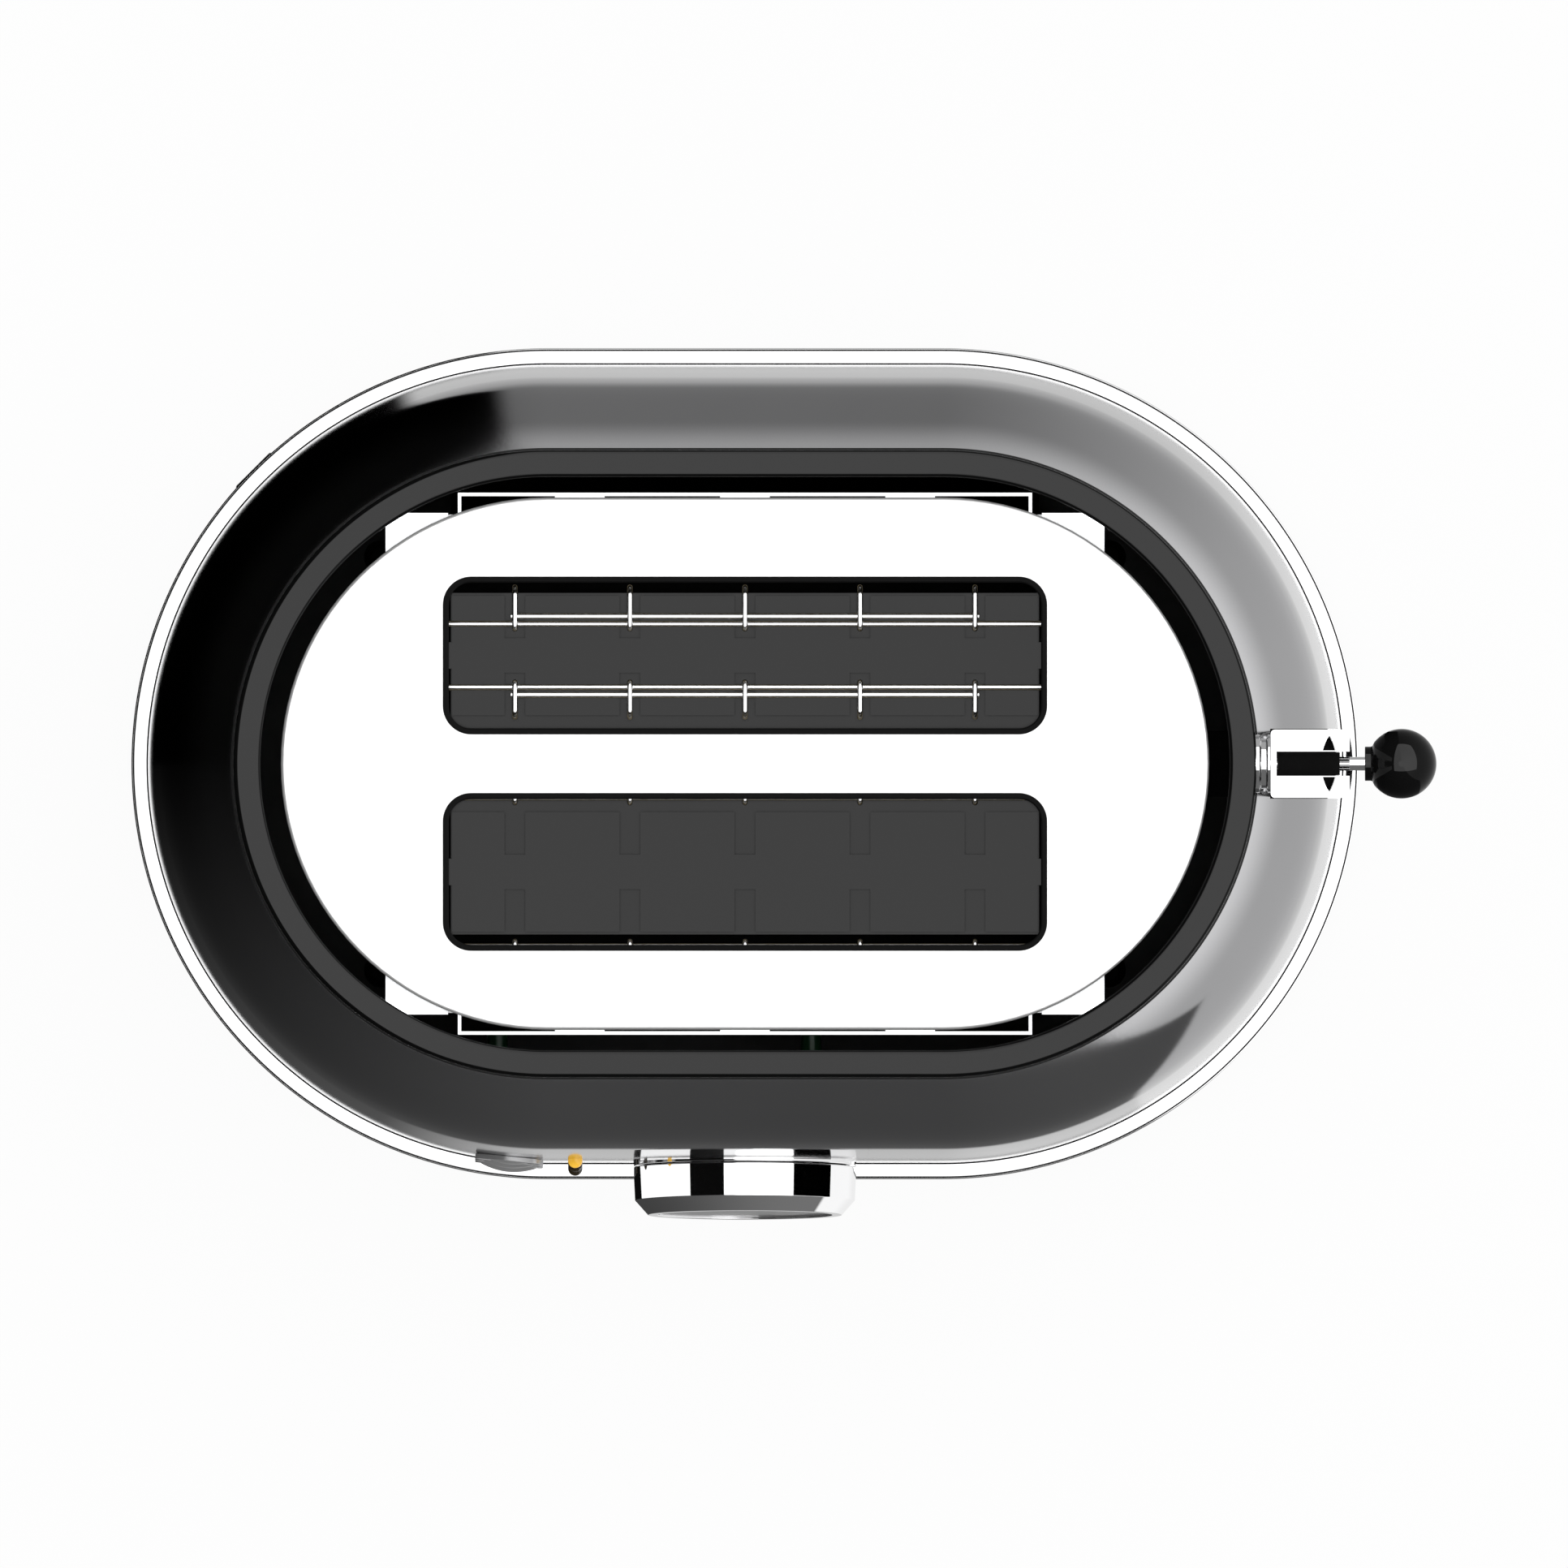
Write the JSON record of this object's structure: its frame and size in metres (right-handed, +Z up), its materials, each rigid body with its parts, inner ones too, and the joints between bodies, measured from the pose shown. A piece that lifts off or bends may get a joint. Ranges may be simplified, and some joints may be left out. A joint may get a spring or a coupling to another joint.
{
  "type": "toaster",
  "caption": "Long-slot toaster with a stadium-shaped dark metal body, chrome plinth and dial, side lever on a chrome rail, wire bread guides.",
  "frame": {"origin": "middle of the underside, on the table", "axes": "+Z up; +X towards the lever; the dial faces -Y"},
  "size_m": [0.316, 0.211, 0.1918],
  "materials": {
    "dark_plate": "dark bright plate over pressed steel",
    "bright_chrome": "polished chrome",
    "polished_steel": "polished stainless sheet",
    "guide_wire": "bright wire",
    "zinc_sheet": "zinc-plated sheet",
    "ground_rod": "ground steel",
    "spring_wire": "spring steel",
    "dark_steel": "dark heat-proof coat",
    "heater_ribbon": "resistance ribbon",
    "dial_metal": "spun metal disc",
    "copper_winding": "enamelled copper",
    "mica": "pressed mica sheet",
    "gloss_black": "gloss black moulding",
    "black_moulding": "fine-textured black moulding",
    "black_rubber": "black rubber",
    "circuit_board": "green lacquered board",
    "amber_glass": "clear amber pin"
  },
  "bodies": {
    "root": {"outer_shell": "dark_plate", "plinth_ring": "bright_chrome", "base_pan": "black_moulding", "rubber_feet": "black_rubber", "top_collar": "gloss_black", "top_plate": "polished_steel", "end_frame_left": "zinc_sheet", "end_frame_right": "zinc_sheet", "side_panel_rear": "zinc_sheet", "side_panel_front": "zinc_sheet", "heater_rear_outer": "mica", "heater_rear_inner": "mica", "heater_front_inner": "mica", "heater_front_outer": "mica", "heater_windings": "heater_ribbon", "reflector_rear": "dark_steel", "reflector_front": "dark_steel", "guide_rods": "ground_rod", "lift_spring": "spring_wire", "latch_magnet": "copper_winding", "magnet_bracket": "zinc_sheet", "lever_rail": "bright_chrome", "rail_neck": "bright_chrome", "dial_bezel": "bright_chrome", "dial_control": "black_moulding", "control_board": "circuit_board", "push_switches": "black_moulding", "button_bezels": "bright_chrome", "indicator_lamps": "amber_glass", "lamp_holders": "bright_chrome", "cord_gland": "black_rubber", "terminal_block": "black_moulding", "base_screws": "ground_rod"},
    "carriage": {"bread_racks": "dark_steel", "carriage_bracket_left": "dark_steel", "carriage_bracket_right": "dark_steel", "armature": "ground_rod", "lever_slider": "black_moulding", "lever_rod": "bright_chrome", "lever_ball": "gloss_black"},
    "dial": {"browning_dial": "bright_chrome", "dial_face": "dial_metal", "dial_shaft": "ground_rod"},
    "reheat": {"reheat_button": "bright_chrome"},
    "defrost": {"defrost_button": "bright_chrome"},
    "cancel": {"cancel_button": "bright_chrome"},
    "rear_outer_guide": {"guide_rear_outer": "guide_wire"},
    "rear_inner_guide": {"guide_rear_inner": "guide_wire"},
    "front_outer_guide": {"guide_front_outer": "guide_wire"},
    "front_inner_guide": {"guide_front_inner": "guide_wire"},
    "tray": {"crumb_tray": "dark_steel", "tray_front": "bright_chrome"}
  },
  "joints": [
    {"name": "lever_slide", "type": "slide", "parent": "root", "child": "carriage", "axis": [0, 0, 1], "range_m": [-0.05, 0], "stiffness_N_per_m": 110, "springref_m": 0.06, "deforming": ["lift_spring"]},
    {"name": "dial_turn", "type": "hinge", "parent": "root", "child": "dial", "pos_m": [-0.00945, -0.09042, 0.085], "axis": [0, -0.9988, 0.0489], "range_deg": [-135, 135]},
    {"name": "reheat_press", "type": "slide", "parent": "root", "child": "reheat", "axis": [0.0954, 0.9952, -0.0201], "range_m": [0, 0.0018], "stiffness_N_per_m": 600, "springref_m": -0.002},
    {"name": "defrost_press", "type": "slide", "parent": "root", "child": "defrost", "axis": [0.0949, 0.9953, -0.0201], "range_m": [0, 0.0018], "stiffness_N_per_m": 600, "springref_m": -0.002},
    {"name": "cancel_press", "type": "slide", "parent": "root", "child": "cancel", "axis": [0.0945, 0.9953, -0.0201], "range_m": [0, 0.0018], "stiffness_N_per_m": 600, "springref_m": -0.002},
    {"name": "rear_guide_open", "type": "slide", "parent": "root", "child": "rear_outer_guide", "axis": [0, 1, 0], "range_m": [0, 0.0103]},
    {"name": "rear_guide_follow", "type": "slide", "parent": "root", "child": "rear_inner_guide", "axis": [0, -1, 0], "range_m": [0, 0.0103]},
    {"name": "front_guide_close", "type": "slide", "parent": "root", "child": "front_outer_guide", "axis": [0, 1, 0], "range_m": [0, 0.0103]},
    {"name": "front_guide_follow", "type": "slide", "parent": "root", "child": "front_inner_guide", "axis": [0, -1, 0], "range_m": [0, 0.0103]},
    {"name": "tray_slide", "type": "slide", "parent": "root", "child": "tray", "axis": [0, 1, 0], "range_m": [0, 0.11]}
  ],
  "couplings": [
    {"joint": "rear_guide_follow", "follows": "rear_guide_open", "ratio": 1},
    {"joint": "front_guide_follow", "follows": "front_guide_close", "ratio": 1}
  ]
}
